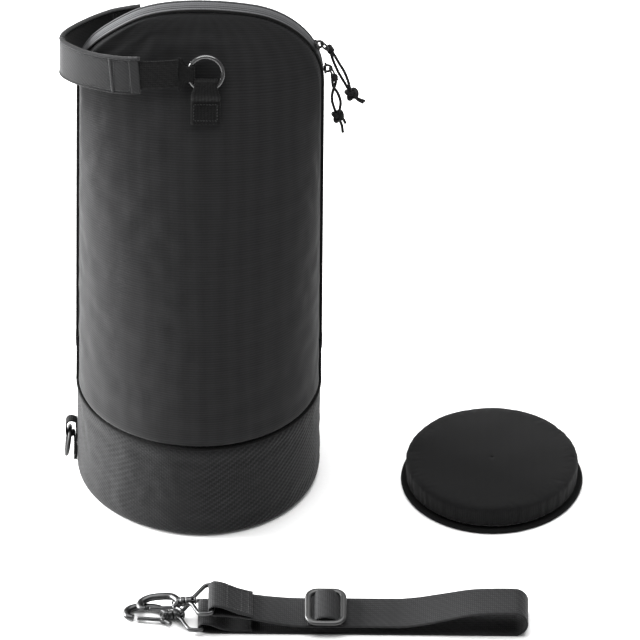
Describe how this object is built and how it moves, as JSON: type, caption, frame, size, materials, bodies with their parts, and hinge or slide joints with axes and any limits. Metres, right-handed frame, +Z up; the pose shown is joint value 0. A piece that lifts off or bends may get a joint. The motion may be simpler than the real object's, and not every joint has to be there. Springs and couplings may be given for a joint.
{
  "type": "padded telescope carry case with shoulder strap and cap",
  "caption": "Tall round padded carry case that opens by a zip over its tapering top, with a wrist handle on ring tabs, a detachable shoulder strap with snap hooks and a padded round cap.",
  "frame": {"origin": "centre of the case's round underside, on the plane all the pieces rest on", "axes": "+Z up the case, +X towards the side with the zip pulls, -Y out of the front panel with the seen ring tab"},
  "size_m": [0.4766, 0.3727, 0.5197],
  "materials": {
    "panel_fabric": "matt near-black ribbed weave with a soft sheen",
    "band_fabric": "matt charcoal twill weave",
    "cap_fabric": "matt black plain weave",
    "webbing": "matt black woven webbing",
    "strap": "matt dark grey woven webbing",
    "trim": "black bound edge",
    "lining": "brushed lining over foam",
    "cord": "braided black cord",
    "zip": "black nylon coil",
    "stiffener": "plain sheet",
    "plastic": "satin black moulding",
    "black_metal": "satin black coating",
    "gunmetal": "glossy gunmetal plating"
  },
  "bodies": {
    "case": {"base_cup": "band_fabric", "base_board": "stiffener", "floor_pad": "lining", "band_piping": "trim", "back_shell": "panel_fabric", "front_lower": "panel_fabric", "gusset_back": "panel_fabric", "zip_coil_back": "zip", "gusset_side_left": "panel_fabric", "gusset_side_right": "panel_fabric", "zip_end_left": "webbing", "zip_end_right": "webbing", "piping_back": "trim", "back_ring_tab": "webbing", "lower_tab": "webbing"},
    "front_flap": {"front_panel": "panel_fabric", "gusset_front": "panel_fabric", "zip_coil_front": "zip", "piping_front": "trim", "front_ring_tab": "webbing"},
    "front_ring": {"front_ring": "black_metal"},
    "back_ring": {"back_ring": "black_metal"},
    "handle_front": {"handle_end_front": "webbing", "handle_webbing_front": "webbing", "handle_sleeve_front": "webbing"},
    "handle_back": {"handle_end_back": "webbing", "handle_webbing_back": "webbing", "handle_sleeve_back": "webbing"},
    "lower_ring": {"lower_ring": "black_metal"},
    "slider_1": {"slider_1": "black_metal"},
    "pull_1": {"pull_ring_1": "black_metal", "cord_1a": "cord", "cord_1b": "cord", "knot_1": "cord"},
    "slider_2": {"slider_2": "black_metal"},
    "pull_2": {"pull_ring_2": "black_metal", "cord_2a": "cord", "cord_2b": "cord", "knot_2": "cord"},
    "cap": {"cap_cover": "cap_fabric", "cap_binding": "trim"},
    "strap": {"strap_webbing": "strap", "hook_a_eye": "gunmetal", "hook_b_eye": "gunmetal"},
    "tri_glide": {"tri_glide": "plastic", "glide_webbing": "strap"},
    "hook_a": {"hook_a_body": "gunmetal"},
    "hook_a_gate": {"hook_a_gate": "gunmetal"},
    "hook_b": {"hook_b_body": "gunmetal"},
    "hook_b_gate": {"hook_b_gate": "gunmetal"}
  },
  "joints": [
    {"name": "flap_hinge", "type": "hinge", "parent": "case", "child": "front_flap", "pos_m": [0, -0.107, 0.15015], "axis": [1, 0, 0], "range_deg": [0, 45]},
    {"name": "handle_swing", "type": "hinge", "parent": "case", "child": "handle_back", "pos_m": [0.005, 0, 0.464], "axis": [0, 1, 0], "range_deg": [0, 150], "deforming": ["handle_end_back"]},
    {"name": "handle_front_swing", "type": "hinge", "parent": "front_flap", "child": "handle_front", "pos_m": [0.005, 0, 0.464], "axis": [0, 1, 0], "range_deg": [0, 150], "deforming": ["handle_end_front"]},
    {"name": "front_ring_tilt", "type": "hinge", "parent": "front_flap", "child": "front_ring", "pos_m": [0.005, -0.03715, 0.45373], "axis": [1, 0, 0], "range_deg": [0, 12]},
    {"name": "back_ring_tilt", "type": "hinge", "parent": "case", "child": "back_ring", "pos_m": [0.005, 0.03715, 0.45373], "axis": [-1, 0, 0], "range_deg": [0, 12]},
    {"name": "lower_ring_swing", "type": "hinge", "parent": "case", "child": "lower_ring", "pos_m": [-0.1166, 0, 0.0392], "axis": [0, 1, 0], "range_deg": [0, 60]},
    {"name": "slider_1_run", "type": "hinge", "parent": "case", "child": "slider_1", "pos_m": [0.034, 0, 0.439], "axis": [0, -1, 0], "range_deg": [0, 50]},
    {"name": "pull_1_swing", "type": "hinge", "parent": "slider_1", "child": "pull_1", "pos_m": [0.10829, 0, 0.47443], "axis": [0, -1, 0], "range_deg": [0, 60]},
    {"name": "slider_2_run", "type": "slide", "parent": "case", "child": "slider_2", "axis": [0, 0, -1], "range_m": [0, 0.28]},
    {"name": "pull_2_swing", "type": "hinge", "parent": "slider_2", "child": "pull_2", "pos_m": [0.1163, 0, 0.447], "axis": [0, -1, 0], "range_deg": [0, 40]},
    {"name": "cap_lift", "type": "slide", "parent": "case", "child": "cap", "axis": [0, 0, 1], "range_m": [0, 0.3]},
    {"name": "strap_lift", "type": "slide", "parent": "case", "child": "strap", "axis": [0, 0, 1], "range_m": [0, 0.2]},
    {"name": "glide_run", "type": "slide", "parent": "strap", "child": "tri_glide", "axis": [1, 0, 0], "range_m": [-0.01, 0.05]},
    {"name": "hook_a_swivel", "type": "hinge", "parent": "strap", "child": "hook_a", "pos_m": [-0.00625, -0.23315, 0.02039], "axis": [0.9689, -0.1188, 0.2173], "range_deg": [0, 40]},
    {"name": "hook_a_gate_pivot", "type": "hinge", "parent": "hook_a", "child": "hook_a_gate", "pos_m": [-0.01878, -0.23907, 0.01778], "axis": [0.2156, -0.0264, -0.9761], "range_deg": [0, 20], "stiffness_Nm_per_rad": 0.05, "springref_deg": -11.46},
    {"name": "hook_b_swivel", "type": "hinge", "parent": "strap", "child": "hook_b", "pos_m": [-0.01692, -0.23432, 0.00534], "axis": [0.9968, -0.0699, 0.04], "range_deg": [-20, 0]},
    {"name": "hook_b_gate_pivot", "type": "hinge", "parent": "hook_b", "child": "hook_b_gate", "pos_m": [-0.0294, -0.24087, 0.00486], "axis": [0.0399, -0.0028, -0.9992], "range_deg": [0, 14], "stiffness_Nm_per_rad": 0.05, "springref_deg": -11.46}
  ],
  "couplings": [
    {"joint": "handle_front_swing", "follows": "handle_swing", "ratio": 1},
    {"joint": "front_ring_tilt", "follows": "handle_swing", "ratio": 0.08},
    {"joint": "back_ring_tilt", "follows": "handle_swing", "ratio": 0.08}
  ]
}
